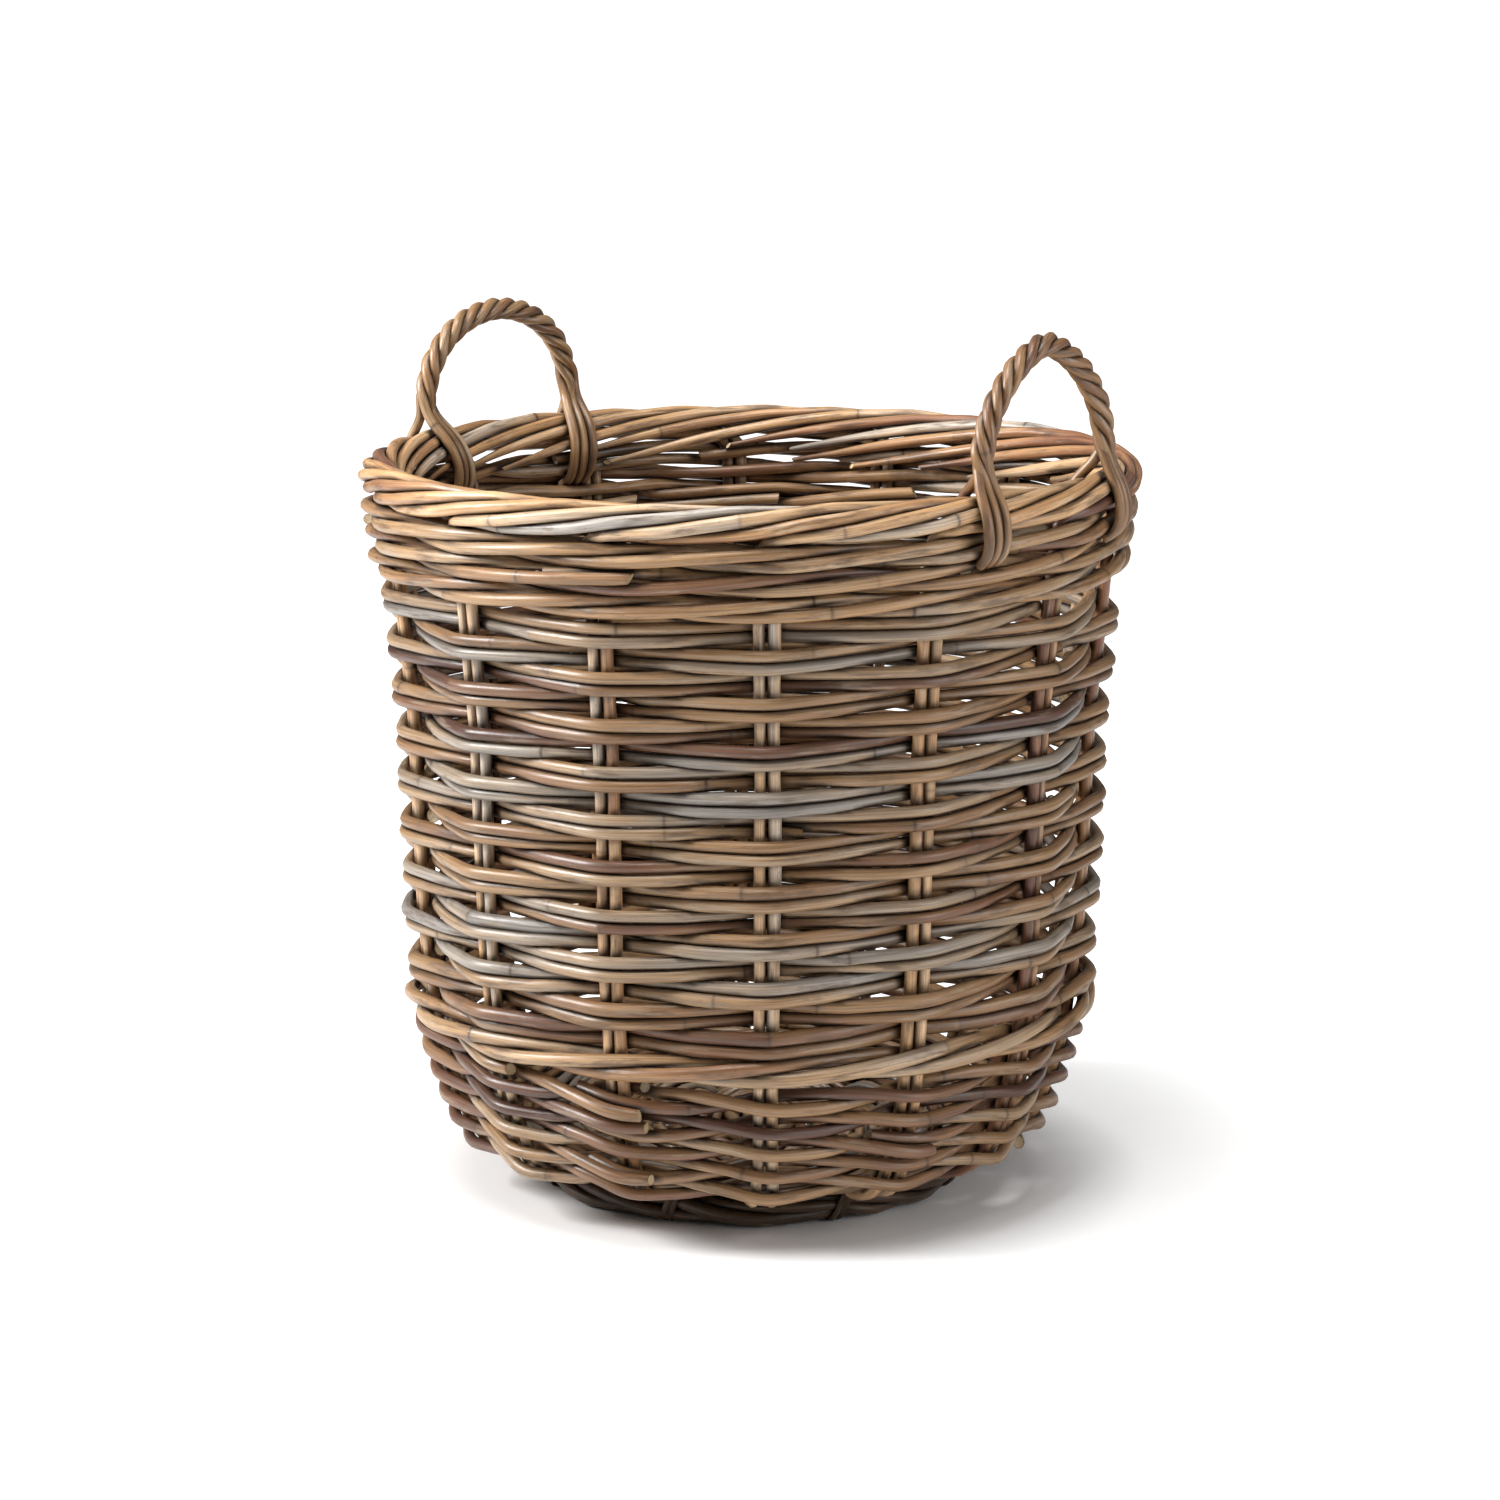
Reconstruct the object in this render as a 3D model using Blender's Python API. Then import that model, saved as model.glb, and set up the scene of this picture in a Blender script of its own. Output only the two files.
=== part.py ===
"""Round rattan log basket with two twisted-cane loop handles.

The basket stands on its foot at the origin, +Z up, with a handle over each end of the X axis.
Every cane is a tube of its own. The upright stakes are laid in pairs: each pair is one cane
bent double under the wall, and its two tips are rolled down to the right to make the border.
The wall is woven round the stakes in four bands, from the base up: pairing, a low wale, two
slews of doubled canes that chase each other, and a high wale.
"""
import math

import bpy
from mathutils import Vector

# Driving dimensions, in metres
STAKE_PAIRS = 14
STAKE_RADIUS = 0.0038
STAKE_HALF_SPACING = 0.00415
TIP_RADIUS = 0.00345
SLEW_HALF_WIDTH = 0.00319
WALE_HALF_WIDTH = 0.0025
BASE_LEVEL = 0.0226
SLEW_TURNS = 9
SLEW_SPLICE = 62
SLEW_RISE = 0.0294
WALE_RISE = 0.0144
PAIRING_RISE = 0.0158
PAIRING_TURNS = 5
PAIRING_START = 0.032
HIGH_WALE_TURNS = 3
RIM_RADIUS = 0.236
ROLL_RADIUS = 0.0070
HANDLE_HALF_WIDTH = 0.067
HANDLE_STRAIGHT = 0.003
HANDLE_CANE_RADIUS = 0.00285
HANDLE_ROPE_RADIUS = 0.0049
HANDLE_TURNS = 4
FOOT_RADIUS = 0.1315
FOOT_CANE_RADIUS = 0.0042
GAP = 0.0003

# Directions, seen from above
FIRST_STAKE = math.radians(5.4)
HANDLE_OFFSET = math.radians(3.35)
STAKE_STEP = 2 * math.pi / STAKE_PAIRS

# Height and radius of the wall's stakes, from the turn at the base up to the rim
WALL = (
    (BASE_LEVEL, 0.152),
    (0.0265, 0.169),
    (0.038, 0.1815),
    (0.056, 0.1915),
    (0.100, 0.206),
    (0.177, 0.215),
    (0.310, 0.219),
    (0.420, 0.2298),
    (0.470, RIM_RADIUS),
)

# Heights that follow from the rises of the bands
LOW_WALE_START = PAIRING_START + PAIRING_TURNS * PAIRING_RISE
SLEW_HALF_HEIGHT = 0.0034 + SLEW_HALF_WIDTH
WALE_CROSSING = 0.0036
WALE_HALF_HEIGHT = WALE_CROSSING + WALE_HALF_WIDTH
SLEW_START = LOW_WALE_START + WALE_RISE / 2 + WALE_HALF_HEIGHT + SLEW_HALF_HEIGHT + GAP
SLEW_END = SLEW_START + SLEW_TURNS * SLEW_RISE
HIGH_WALE_START = SLEW_END + SLEW_HALF_HEIGHT + WALE_HALF_HEIGHT + GAP - WALE_RISE / 2
WALE_TOP = HIGH_WALE_START + HIGH_WALE_TURNS * WALE_RISE + WALE_HALF_HEIGHT
ROLL_LEVEL = WALE_TOP + GAP + ROLL_RADIUS + TIP_RADIUS
RIM_CREST = ROLL_LEVEL + ROLL_RADIUS + TIP_RADIUS

SQUARE = {"bevel_resolution": 0, "tilt": math.pi / 4}
HEXAGON = {"bevel_resolution": 1, "tilt": 0.0}


def clear_scene():
    for obj in list(bpy.data.objects):
        bpy.data.objects.remove(obj)


def cane_material(name, colour, roughness):
    material = bpy.data.materials.new(name)
    material.use_nodes = True
    shader = material.node_tree.nodes["Principled BSDF"]
    shader.inputs["Base Color"].default_value = (*colour, 1.0)
    shader.inputs["Roughness"].default_value = roughness
    shader.inputs["Metallic"].default_value = 0.0
    material.diffuse_color = (*colour, 1.0)
    return material


def shade(colour, index):
    """The colour a little lighter or darker, so that neighbouring canes differ."""
    factor = 1.0 + 0.16 * math.sin(2.4 * index)
    return tuple(channel * factor for channel in colour)


def cane(name, points, radius, colour, section, radii=None, closed=False, twist="Z_UP"):
    """A tube along the points, as a curve object in the basket's collection."""
    curve = bpy.data.curves.new(name, "CURVE")
    curve.dimensions = "3D"
    curve.twist_mode = twist
    curve.bevel_depth = radius
    curve.bevel_resolution = section["bevel_resolution"]
    curve.use_fill_caps = True
    spline = curve.splines.new("POLY")
    spline.points.add(len(points) - 1)
    spline.use_cyclic_u = closed
    for index, (point, place) in enumerate(zip(spline.points, points)):
        point.co = (*place, 1.0)
        point.tilt = section["tilt"]
        point.radius = radii[index] if radii else 1.0
    curve.materials.append(cane_material(name + "_cane", colour, 0.42))
    obj = bpy.data.objects.new(name, curve)
    basket.objects.link(obj)
    return obj


def wall_radius(height):
    """Radius of the stakes' middle at this height."""
    for (low, inner), (high, outer) in zip(WALL, WALL[1:]):
        if height <= high:
            break
    return inner + (outer - inner) * (height - low) / (high - low)


def wall_lean(height):
    """How far the wall leans outwards here, as an angle from upright, smoothed over its bends."""
    reach = 0.012
    return math.atan((wall_radius(height + reach) - wall_radius(height - reach)) / (2 * reach))


def polar(angle, radius, height):
    return Vector((radius * math.cos(angle), radius * math.sin(angle), height))


def on_wall(step, height, offset):
    """A point beside the wall, this many stakes round, offset outwards square to the wall."""
    lean = wall_lean(height)
    radius = wall_radius(height) + offset * math.cos(lean)
    return polar(FIRST_STAKE + step * STAKE_STEP, radius, height - offset * math.sin(lean))


def straight_between(place, step):
    """place() at a step that isn't whole, on the straight line between its neighbours."""
    before = math.floor(step)
    return place(before).lerp(place(before + 1), step - before)


def woven_steps(first, last, tail=0.04):
    """The whole steps from first to last, with both ends cut a little short of a stake."""
    return [first + tail, *range(first + 1, last), last - tail]


def slew_canes():
    """Two slews of doubled canes, started half a turn apart, over one stake pair and under one."""
    outside, inside = 0.0100, 0.0076
    for slew, letter in enumerate("ab"):
        start = slew * STAKE_PAIRS // 2
        # Each slew is spliced once, where a cane's end hides behind a stake pair.
        cuts = (start, start + SLEW_SPLICE, start + SLEW_TURNS * STAKE_PAIRS)
        for layer, side in enumerate((-1, 1)):

            def place(step, start=start, side=side):
                height = SLEW_START + SLEW_RISE * (step - start) / STAKE_PAIRS
                height += side * (SLEW_HALF_WIDTH + 0.7 * GAP)
                return on_wall(step, height, outside if (step - start) % 2 == 1 else -inside)

            for part, (first, last) in enumerate(zip(cuts, cuts[1:])):
                points = [straight_between(place, step) for step in woven_steps(first, last)]
                name = f"slew_{letter}_cane_{2 * part + layer + 1}"
                colour = shade((0.36, 0.24, 0.13), 4 * slew + 2 * part + layer)
                cane(name, points, SLEW_HALF_WIDTH * math.sqrt(2), colour, SQUARE)


def pairing_canes():
    """Two canes that cross between all stake pairs, one passing in front while one is behind."""
    outside, inside = 0.0106, 0.0090
    last = PAIRING_TURNS * STAKE_PAIRS
    for strand, side in enumerate((-1, 1)):

        def place(step, strand=strand, side=side):
            height = PAIRING_START + PAIRING_RISE * step / STAKE_PAIRS
            height += side * PAIRING_RISE / 4
            return on_wall(step, height, outside if (step + strand) % 2 == 0 else -inside)

        points = [straight_between(place, step) for step in woven_steps(0, last, 0.12)]
        colour = shade((0.34, 0.22, 0.12), strand)
        cane(f"pairing_cane_{strand + 1}", points, SLEW_HALF_WIDTH * math.sqrt(2), colour, SQUARE)


def wale_canes(name, start, turns):
    """Three canes, each in front of two stake pairs and behind the third, rising to the right."""
    outside, inside, bridge = 0.0086, 0.0072, 0.0096
    # Offset from the wall and height against the round, at a stake pair and past it
    low, high, behind = (outside, -WALE_CROSSING), (outside, WALE_CROSSING), (-inside, 0.0)
    rising, diving, coming_out = (bridge, 0.0), (0.0, WALE_CROSSING), (0.0, -WALE_CROSSING)
    stroke = (low, rising, high, diving, behind, coming_out)
    for strand in range(3):

        def place(half_step, strand=strand):
            offset, lift = stroke[(half_step + 2 * strand) % len(stroke)]
            step = half_step / 2
            return on_wall(step, start + WALE_RISE * step / STAKE_PAIRS + lift, offset)

        steps = woven_steps(0, 2 * turns * STAKE_PAIRS, 0.2)
        points = [straight_between(place, step) for step in steps]
        colour = shade((0.40, 0.27, 0.15), strand)
        cane(f"{name}_cane_{strand + 1}", points, WALE_HALF_WIDTH * math.sqrt(2), colour, SQUARE)


def stake_side(pair, side):
    """One stake of a pair from the bend under the wall up to its cut tip in the border.

    The stake on the right (side 1) turns over first, and the one on the left passes inside it.
    Returns the points and each point's share of the stake's radius.
    """
    angle = FIRST_STAKE + pair * STAKE_STEP
    across = Vector((-math.sin(angle), math.cos(angle), 0.0))
    bend_radius, bend_place = 0.0078, 0.126
    points = [
        polar(angle, bend_place - bend_radius, BASE_LEVEL) + across * side * 0.0030,
        polar(angle, bend_place - 0.0030, BASE_LEVEL) + across * side * bend_radius,
    ]
    for height, radius in WALL[:-1]:
        spread = STAKE_HALF_SPACING + (0.0020 if height == BASE_LEVEL else 0.0)
        points.append(polar(angle, radius, height) + across * side * spread)
    top = polar(angle, wall_radius(WALE_TOP), WALE_TOP)
    points.append(top + across * side * STAKE_HALF_SPACING)
    radii = [1.0] * len(points)
    # Over the wale the right stake turns to the right at once, below the left one.
    if side > 0:
        first_turn = math.radians(270)
        bends = ((RIM_RADIUS - 0.0010, WALE_TOP + 0.0022, STAKE_HALF_SPACING + 0.0016),)
    else:
        first_turn = math.radians(200)
        bends = (
            (RIM_RADIUS - 0.0055, WALE_TOP + 0.0062, -STAKE_HALF_SPACING),
            (RIM_RADIUS - 0.0066, WALE_TOP + 0.0096, -0.0010),
        )
    for radius, height, shift in bends:
        points.append(polar(angle, radius, height) + across * shift)
        radii.append(TIP_RADIUS / STAKE_RADIUS)
    # Round the rim's core: this far per stake step, sampled four times a step
    turn_per_step = math.radians(145)
    tip = 1.85 if side > 0 else 1.45
    places = [0.12] + [quarter / 4 for quarter in range(1, math.ceil(tip * 4))] + [tip]
    for place in places:
        turn = first_turn - turn_per_step * place
        radius = RIM_RADIUS + ROLL_RADIUS * math.cos(turn)
        height = ROLL_LEVEL + ROLL_RADIUS * math.sin(turn)
        points.append(polar(angle + place * STAKE_STEP, radius, height))
        radii.append(TIP_RADIUS / STAKE_RADIUS)
    return points, radii


def stake_pairs():
    for pair in range(STAKE_PAIRS):
        left, left_radii = stake_side(pair, -1)
        right, right_radii = stake_side(pair, 1)
        points = left[::-1] + right
        radii = left_radii[::-1] + right_radii
        colour = shade((0.38, 0.25, 0.12), pair)
        name = f"stake_pair_{pair + 1:02d}"
        cane(name, points, STAKE_RADIUS, colour, HEXAGON, radii, twist="MINIMUM")


def handle_canes(side_name, direction):
    """A left-hand laid rope of four canes, bent into an arch over the rim.

    At each foot three canes are splayed down the outside of the rim and one goes down inside.
    """
    outwards = polar(direction, 1.0, 0.0)
    sideways = Vector((-outwards.y, outwards.x, 0.0))
    foot_radius = RIM_RADIUS + 0.004
    plane = outwards * math.sqrt(foot_radius**2 - HANDLE_HALF_WIDTH**2)
    foot_turn = math.asin(HANDLE_HALF_WIDTH / foot_radius)
    rope_start = RIM_CREST + 0.0105
    arch_level = rope_start + HANDLE_STRAIGHT
    arch_length = math.pi * HANDLE_HALF_WIDTH
    length = 2 * HANDLE_STRAIGHT + arch_length
    stations = 8 * HANDLE_TURNS

    def rope_frame(distance):
        """Centre of the rope, and the direction away from the arch's centre, at this distance."""
        if distance < HANDLE_STRAIGHT:
            level = Vector((0, 0, rope_start + distance))
            return plane - sideways * HANDLE_HALF_WIDTH + level, -sideways
        if distance > length - HANDLE_STRAIGHT:
            level = Vector((0, 0, rope_start + length - distance))
            return plane + sideways * HANDLE_HALF_WIDTH + level, sideways
        turn = (distance - HANDLE_STRAIGHT) / HANDLE_HALF_WIDTH
        away = -sideways * math.cos(turn) + Vector((0, 0, math.sin(turn)))
        return plane + away * HANDLE_HALF_WIDTH + Vector((0, 0, arch_level)), away

    def foot(strand, side):
        """The splayed end of a strand, from the rope down to its cut tip."""
        angle = direction + side * foot_turn
        radial = polar(angle, 1.0, 0.0)
        tangent = Vector((-radial.y, radial.x, 0.0))
        spread = (0, 1, 0, -1)[strand] * (2 * HANDLE_CANE_RADIUS + 2 * GAP) * side
        tip_level = ROLL_LEVEL - 0.028
        if strand == 2:
            clear = WALE_HALF_WIDTH + HANDLE_CANE_RADIUS + 0.0070 + 3 * GAP
            low_radius = wall_radius(tip_level) - clear
            top_radius = RIM_RADIUS - ROLL_RADIUS - TIP_RADIUS - HANDLE_CANE_RADIUS - 3 * GAP
            levels = (
                (RIM_CREST - 0.002, top_radius),
                (tip_level + 0.016, low_radius),
                (tip_level, low_radius),
            )
        else:
            clear = RIM_RADIUS + ROLL_RADIUS + TIP_RADIUS + HANDLE_CANE_RADIUS + 2 * GAP
            levels = ((RIM_CREST, clear), (ROLL_LEVEL - 0.006, clear), (tip_level, clear - 0.001))
        return [radial * radius + tangent * spread + Vector((0, 0, level)) for level, radius in levels]

    for strand in range(4):
        points = foot(strand, -1)[::-1]
        for station in range(stations + 1):
            centre, away = rope_frame(length * station / stations)
            turn = strand * math.pi / 2 + foot_turn + 2 * math.pi * HANDLE_TURNS * station / stations
            offset = outwards * math.cos(turn) + away * math.sin(turn)
            points.append(centre + offset * HANDLE_ROPE_RADIUS)
        points += foot(strand, 1)
        colour = shade((0.42, 0.26, 0.13), strand)
        name = f"{side_name}_handle_cane_{strand + 1}"
        cane(name, points, HANDLE_CANE_RADIUS, colour, HEXAGON, twist="MINIMUM")


def foot_canes():
    """Four rings of cane under the base, and the eight ties that straddle them."""
    half_height = FOOT_CANE_RADIUS * math.cos(math.pi / 6)
    spacing = FOOT_CANE_RADIUS + GAP
    count = 24
    rings = (
        ("foot_outer_low", FOOT_RADIUS + spacing, half_height),
        ("foot_inner_low", FOOT_RADIUS - spacing, half_height),
        ("foot_outer_high", FOOT_RADIUS + spacing, 3 * half_height + GAP),
        ("foot_inner_high", FOOT_RADIUS - spacing, 3 * half_height + GAP),
    )
    for index, (name, radius, height) in enumerate(rings):
        points = [polar(math.tau * step / count, radius, height) for step in range(count)]
        cane(name, points, FOOT_CANE_RADIUS, shade((0.25, 0.15, 0.07), index), HEXAGON, closed=True)
    tie_radius = 0.0012
    top = 4 * half_height + 2 * GAP + tie_radius
    reach = spacing + FOOT_CANE_RADIUS + 2 * GAP + tie_radius
    ties = 8
    for tie in range(ties):
        # The first tie stands at the middle of a ring's straight run.
        angle = math.tau * (tie / ties + 0.5 / count)
        middle = FOOT_RADIUS * math.cos(math.pi / count)
        outline = ((reach, 0.0016), (reach, top - 0.002), (reach - 0.002, top),
                   (0.002 - reach, top), (-reach, top - 0.002), (-reach, 0.0016))
        points = [polar(angle, middle + offset, height) for offset, height in outline]
        name = f"foot_tie_{tie + 1}"
        cane(name, points, tie_radius, shade((0.16, 0.09, 0.05), tie), HEXAGON, twist="MINIMUM")


def base_sticks():
    """Four sticks crossed by three, fanned out to point at the fourteen stake pairs."""
    crossing, fan, end = 0.022, 0.060, 0.112
    pitch = 2 * STAKE_RADIUS + 2 * GAP
    lift = STAKE_RADIUS + GAP
    for first, count, side in ((0, 4, -1), (4, 3, 1)):
        heading = FIRST_STAKE + (first + (count - 1) / 2) * STAKE_STEP
        along = polar(heading, 1.0, 0.0)
        across = Vector((-along.y, along.x, 0.0))
        for index in range(count):
            angle = FIRST_STAKE + (first + index) * STAKE_STEP
            offset = across * (index - (count - 1) / 2) * pitch
            middle = Vector((0, 0, BASE_LEVEL + side * lift))
            half = [along * crossing + offset + middle]
            half += [polar(angle, radius, BASE_LEVEL) for radius in (fan, end)]
            facing = FIRST_STAKE + (first + count - 1 - index) * STAKE_STEP + math.pi
            other = [-along * crossing + offset + middle]
            other += [polar(facing, radius, BASE_LEVEL) for radius in (fan, end)]
            number = first + index + 1
            colour = shade((0.30, 0.19, 0.10), number)
            cane(f"base_stick_{number}", other[::-1] + half, STAKE_RADIUS, colour, HEXAGON)


def base_weave():
    """Two canes paired round the base sticks in a flat spiral."""
    turns, start, pitch, reach = 2, 0.064, 0.016, 0.0093
    for strand, side in enumerate((-1, 1)):

        def place(step, strand=strand, side=side):
            radius = start + pitch * step / STAKE_PAIRS + side * (SLEW_HALF_WIDTH + GAP)
            lift = reach if (step + strand) % 2 == 0 else -reach
            return polar(FIRST_STAKE + step * STAKE_STEP, radius, BASE_LEVEL + lift)

        steps = woven_steps(0, turns * STAKE_PAIRS, 0.2)
        points = [straight_between(place, step) for step in steps]
        colour = shade((0.32, 0.20, 0.11), strand)
        cane(f"base_weaver_{strand + 1}", points, SLEW_HALF_WIDTH * math.sqrt(2), colour, SQUARE)


clear_scene()
basket = bpy.data.collections.new("log_basket")
bpy.context.scene.collection.children.link(basket)
foot_canes()
base_sticks()
base_weave()
stake_pairs()
pairing_canes()
wale_canes("low_wale", LOW_WALE_START, 1)
slew_canes()
wale_canes("high_wale", HIGH_WALE_START, HIGH_WALE_TURNS)
handle_canes("right", HANDLE_OFFSET)
handle_canes("left", math.pi - HANDLE_OFFSET)
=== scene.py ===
"""The looks of the round rattan log basket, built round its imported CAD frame.

Every cane is a tube of its own, laid along the route it takes in the weave, then pushed clear of
its neighbours, so that the canes bear on each other as woven cane does.
"""
import math

import bpy
import numpy as np
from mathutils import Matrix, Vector, kdtree


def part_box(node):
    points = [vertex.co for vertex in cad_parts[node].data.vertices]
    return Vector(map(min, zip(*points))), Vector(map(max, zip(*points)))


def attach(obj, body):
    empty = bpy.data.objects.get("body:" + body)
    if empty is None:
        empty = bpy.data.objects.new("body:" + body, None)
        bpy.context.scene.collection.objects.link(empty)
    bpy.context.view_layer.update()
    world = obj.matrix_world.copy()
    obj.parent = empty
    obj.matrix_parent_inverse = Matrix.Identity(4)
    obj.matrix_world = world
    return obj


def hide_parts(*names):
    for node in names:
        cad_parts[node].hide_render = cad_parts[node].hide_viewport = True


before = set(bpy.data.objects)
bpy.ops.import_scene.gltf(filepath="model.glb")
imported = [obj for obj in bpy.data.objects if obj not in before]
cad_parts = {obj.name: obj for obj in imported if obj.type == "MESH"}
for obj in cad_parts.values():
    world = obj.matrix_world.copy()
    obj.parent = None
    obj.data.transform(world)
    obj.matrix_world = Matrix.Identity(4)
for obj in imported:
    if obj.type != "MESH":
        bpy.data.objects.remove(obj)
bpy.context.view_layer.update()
rng = np.random.default_rng(14)

# Directions and counts, as in the CAD
STAKE_PAIRS = 14
STEP = math.tau / STAKE_PAIRS
FIRST_STAKE = math.radians(5.4)
HANDLE_OFFSET = math.radians(3.35)
HANDLE_RADIUS = 0.240

# Levels, from the CAD nodes
RIM_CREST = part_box("stake_pair_01")[1].z
BASE_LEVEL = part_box("base_stick_1")[0].z + 0.0038
SLEW_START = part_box("slew_a_cane_1")[0].z + 0.0070
LOW_WALE_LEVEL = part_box("low_wale_cane_1")[0].z + 0.0184
PAIRING_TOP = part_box("pairing_cane_2")[1].z - 0.0190
RIM_RADIUS = 0.236
ROLL_LEVEL = RIM_CREST - 0.0107
WALE_TOP = ROLL_LEVEL - 0.0108

SLEW_TURNS = 9
SLEW_RISE = 0.0294

# The wall's stakes seen edge on, radius and height, from under the base up to the rim
PROFILE = np.array([
    (0.098, BASE_LEVEL + 0.0010),
    (0.146, BASE_LEVEL + 0.0010),
    (0.152, 0.0236),
    (0.169, 0.0272),
    (0.1815, 0.038),
    (0.1915, 0.056),
    (0.206, 0.100),
    (0.215, 0.177),
    (0.219, 0.310),
    (0.2298, 0.420),
    (0.236, 0.470),
    (0.2375, 0.482),
])


# A stake's end, cut to a long point: the point's length, its share of the thickness, the cut's slope
POINTED_TIP = (0.080, 0.45, 2.4)

# The border seen edge on: stakes passed, distance out from the rim's line, height above the wale
BORDER = np.array([
    (0.10, 0.0002, 0.0016),
    (0.45, 0.0050, 0.0020),
    (0.90, 0.0088, 0.0055),
    (1.35, 0.0076, 0.0118),
    (1.80, 0.0020, 0.0172),
    (2.25, -0.0052, 0.0156),
    (2.70, -0.0098, 0.0098),
    (3.20, -0.0136, 0.0010),
    (3.70, -0.0160, -0.0090),
    (4.30, -0.0170, -0.0190),
])


def lengths(path):
    """How far along the path each of its points is."""
    steps = np.linalg.norm(np.diff(path, axis=0), axis=1)
    return np.concatenate([[0.0], np.cumsum(steps)])


def resample(path, spacing):
    """The path at even steps, with a smooth curve between its points."""
    along = lengths(path)
    count = max(int(round(along[-1] / spacing)), 2) + 1
    return curve_at(path, along, np.linspace(0.0, along[-1], count))


def curve_at(path, along, places):
    """Points on the smooth curve through the path, at these distances along it."""
    index = np.clip(np.searchsorted(along, places, "right") - 1, 0, len(path) - 2)
    span = np.maximum(along[index + 1] - along[index], 1e-9)
    t = ((places - along[index]) / span)[:, None]
    slopes = np.gradient(path, np.maximum(along, np.arange(len(along)) * 1e-9), axis=0)
    start, end = path[index], path[index + 1]
    enter, leave = slopes[index] * span[:, None], slopes[index + 1] * span[:, None]
    return (
        (2 * t**3 - 3 * t**2 + 1) * start
        + (t**3 - 2 * t**2 + t) * enter
        + (-2 * t**3 + 3 * t**2) * end
        + (t**3 - t**2) * leave
    )


def soften(path, width, spacing=0.0015):
    """The path with its corners rounded over about this width, and its ends kept."""
    fine = resample_straight(path, spacing)
    reach = int(3 * width / spacing) + 1
    weights = np.exp(-0.5 * (np.arange(-reach, reach + 1) * spacing / width) ** 2)
    weights /= weights.sum()
    padded = np.concatenate([
        2 * fine[0] - fine[reach:0:-1] if len(fine) > reach else np.repeat(fine[:1], reach, 0),
        fine,
        2 * fine[-1] - fine[-2:-reach - 2:-1] if len(fine) > reach + 1 else np.repeat(fine[-1:], reach, 0),
    ])
    return np.stack([np.convolve(padded[:, axis], weights, "valid") for axis in range(path.shape[1])], 1)


def resample_straight(path, spacing):
    along = lengths(path)
    count = max(int(round(along[-1] / spacing)), 2) + 1
    places = np.linspace(0.0, along[-1], count)
    return np.stack([np.interp(places, along, path[:, axis]) for axis in range(path.shape[1])], 1)


wall_line = soften(PROFILE, 0.0065, 0.001)
wall_along = lengths(wall_line)
wall_slope = np.gradient(wall_line, wall_along, axis=0)
wall_slope /= np.linalg.norm(wall_slope, axis=1)[:, None]
upright = wall_line[:, 0] > 0.160


def wall_place(height):
    """How far along the wall's line this height is."""
    return np.interp(height, wall_line[upright, 1], wall_along[upright])


def around(step, place, offset, aside=0.0):
    """Points beside the wall: how many stakes round, how far along its line, offset outwards."""
    radius = np.interp(place, wall_along, wall_line[:, 0])
    height = np.interp(place, wall_along, wall_line[:, 1])
    rise = np.interp(place, wall_along, wall_slope[:, 1])
    run = np.interp(place, wall_along, wall_slope[:, 0])
    radius = radius + offset * rise
    height = height - offset * run
    angle = FIRST_STAKE + step * STEP + aside / radius
    return np.stack([radius * np.cos(angle), radius * np.sin(angle), height + 0 * radius], 1)


def wobble(places, scale, size):
    """A smooth random line: about this size, changing over about this distance."""
    total = np.zeros_like(places)
    for stretch in (1.0, 0.53, 0.31):
        phase = rng.uniform(0, math.tau)
        total += math.sqrt(stretch) * np.sin(places / (scale * stretch) * rng.uniform(0.8, 1.25) + phase)
    return total * size / 1.4


def ease(t):
    t = np.clip(t, 0.0, 1.0)
    return t * t * (3 - 2 * t)


def zigzag(step):
    """In front at even stakes and behind at odd ones: straight between them, with a rounded bend at each."""
    return sum(np.cos(k * math.pi * step) / k**2 for k in (1, 3, 5)) / sum(1 / k**2 for k in (1, 3, 5))


canes = []


def lay(name, path, radius, slot, nodes, give=1.0, tone=None, spacing=0.0056, **looks):
    """Adds one cane to the basket, to be pushed clear of the others and then built."""
    canes.append({
        "name": name,
        "path": resample(path, spacing),
        "radius": radius,
        "slot": slot,
        "nodes": [nodes] if isinstance(nodes, str) else list(nodes),
        "give": give,
        "tone": float(np.clip(rng.normal(0.50, 0.19), 0, 1)) if tone is None else tone,
        **looks,
    })


def cuts(first, last, shortest, longest):
    """Where one cane of a strand ends and the next starts, in stakes."""
    places = [first]
    while last - places[-1] > longest:
        places.append(places[-1] + 2 * int(rng.integers(shortest // 2, longest // 2 + 1)))
    if len(places) > 1 and last - places[-1] < 6:
        places[-1] -= 6
    return list(zip(places, places[1:] + [last]))


def weathered(height):
    """A tone for a weaver at this height: the canes came from bundles that had weathered differently."""
    bundle = np.interp(height, [0.02, 0.15, 0.19, 0.22, 0.27, 0.31, 0.325, 0.35, 0.37, 0.40],
                       [0.76, 0.64, 0.26, 0.54, 0.52, 0.10, 0.62, 0.50, 0.26, 0.48])
    return float(np.clip(rng.normal(bundle, 0.19), 0, 1))


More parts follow.
